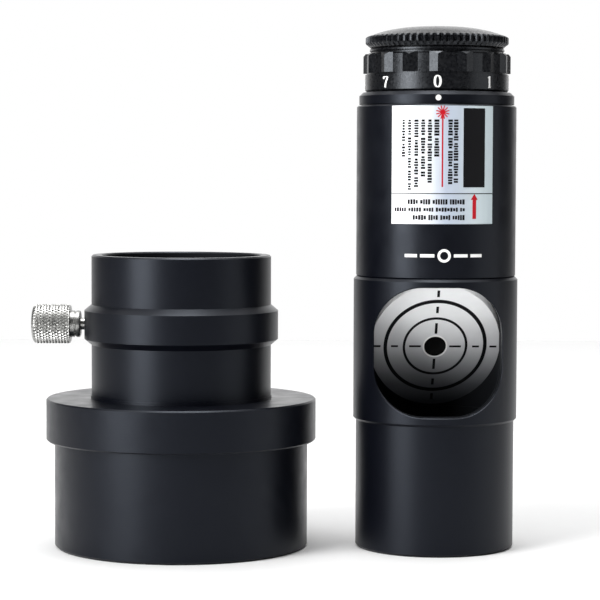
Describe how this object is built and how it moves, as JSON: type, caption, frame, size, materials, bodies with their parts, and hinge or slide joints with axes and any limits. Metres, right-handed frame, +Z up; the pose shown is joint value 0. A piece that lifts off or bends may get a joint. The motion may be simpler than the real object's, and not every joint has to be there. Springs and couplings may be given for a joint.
{
  "type": "laser collimator",
  "caption": "Laser collimator with a slanted target window and a numbered brightness dial, with an adapter ring for larger focusers and its thumb screw.",
  "frame": {"origin": "centre of the lower end face of the collimator's barrel", "axes": "+Z up the collimator's axis, -Y towards the side with the target window, adapter standing towards -X"},
  "size_m": [0.0973, 0.054, 0.1041],
  "materials": {
    "black_anodised": "satin black anodised, fine turning marks",
    "black_knurl": "black anodised, knurled or ridged",
    "target_face": "satin silver anodised",
    "label_foil": "satin printed foil",
    "bright_steel": "polished and knurled",
    "spring_steel": "drawn wire",
    "screw_steel": "black oxide",
    "battery_steel": "bright nickel",
    "brass": "turned",
    "contact_metal": "gold flashed",
    "lens_glass": "polished, coated",
    "rubber_seal": "matt",
    "circuit_board": "green solder mask",
    "chip_ceramic": "matt",
    "liner_plastic": "moulded",
    "lead_insulation": "smooth",
    "white_print": "smooth",
    "black_print": "smooth",
    "red_print": "smooth"
  },
  "bodies": {
    "collimator": {"main_barrel": "black_anodised", "target_plug": "target_face", "laser_housing": "black_anodised", "label_plate": "label_foil", "pivot_seat": "black_anodised", "index_collar": "black_anodised", "detent_ball": "spring_steel", "detent_spring": "spring_steel", "switch_board": "circuit_board", "contact_pads": "contact_metal", "board_resistors": "chip_ceramic", "power_leads": "lead_insulation"},
    "dial": {"brightness_dial": "black_knurl", "dial_circlip": "spring_steel", "battery_liner": "liner_plastic", "centre_contact": "contact_metal", "contact_wiper": "contact_metal", "coin_battery": "battery_steel"},
    "cap_carrier": {"battery_spring": "spring_steel"},
    "cap": {"battery_cap": "black_knurl"},
    "adapter": {"adapter_nosepiece": "black_anodised", "eyepiece_holder": "black_anodised"},
    "thumb_stud": {"thumb_screw_stud": "bright_steel"},
    "thumb_head": {"thumb_screw_head": "bright_steel"},
    "screw_front": {"adjust_screw_front": "screw_steel"},
    "screw_right": {"adjust_screw_right": "screw_steel"},
    "screw_left": {"adjust_screw_left": "screw_steel"},
    "tilt_ring": {"pivot_o_ring": "rubber_seal"},
    "laser_module": {"laser_sleeve": "brass", "collimating_lens": "lens_glass", "lens_retainer": "black_anodised", "focus_spring": "spring_steel", "diode_holder": "brass", "laser_diode": "contact_metal", "driver_board": "circuit_board"}
  },
  "joints": [
    {"name": "dial_turn", "type": "hinge", "parent": "collimator", "child": "dial", "pos_m": [0, 0, 0.092], "axis": [0, 0, -1], "range_deg": [0, 315]},
    {"name": "cap_rise", "type": "slide", "parent": "dial", "child": "cap_carrier", "axis": [0, 0, 1], "range_m": [0, 0.003]},
    {"name": "cap_turn", "type": "hinge", "parent": "cap_carrier", "child": "cap", "pos_m": [0, 0, 0.1], "axis": [0, 0, 1], "range_deg": [0, 1440]},
    {"name": "adapter_lift", "type": "slide", "parent": "collimator", "child": "adapter", "axis": [0, 0, 1], "range_m": [0, 0.12]},
    {"name": "screw_travel", "type": "slide", "parent": "adapter", "child": "thumb_stud", "axis": [1, 0, 0], "range_m": [-0.003, 0.0006]},
    {"name": "screw_turn", "type": "hinge", "parent": "thumb_stud", "child": "thumb_head", "pos_m": [-0.0755, 0, 0.04455], "axis": [1, 0, 0], "range_deg": [-2160, 432]},
    {"name": "adjust_front", "type": "hinge", "parent": "collimator", "child": "screw_front", "pos_m": [0, -0.012, 0.075], "axis": [0, 1, 0], "range_deg": [-76, 76]},
    {"name": "adjust_left", "type": "hinge", "parent": "collimator", "child": "screw_left", "pos_m": [-0.01039, 0.006, 0.075], "axis": [0.866, -0.5, 0], "range_deg": [-76, 76]},
    {"name": "adjust_right", "type": "hinge", "parent": "collimator", "child": "screw_right", "pos_m": [0.01039, 0.006, 0.075], "axis": [-0.866, -0.5, 0], "range_deg": [-76, 76]},
    {"name": "laser_tilt_x", "type": "hinge", "parent": "collimator", "child": "tilt_ring", "pos_m": [0, 0, 0.0624], "axis": [1, 0, 0], "range_deg": [-0.5, 0.5]},
    {"name": "laser_tilt_y", "type": "hinge", "parent": "tilt_ring", "child": "laser_module", "pos_m": [0, 0, 0.0624], "axis": [0, 1, 0], "range_deg": [-0.5, 0.5]}
  ],
  "couplings": [
    {"joint": "cap_turn", "follows": "cap_rise", "rad_per_m": 8377.6},
    {"joint": "screw_turn", "follows": "screw_travel", "rad_per_m": 12566},
    {"joint": "adjust_front", "follows": "laser_tilt_x", "ratio": -152},
    {"joint": "adjust_left", "follows": "laser_tilt_y", "ratio": 152},
    {"joint": "adjust_right", "follows": "laser_tilt_y", "ratio": -152}
  ]
}
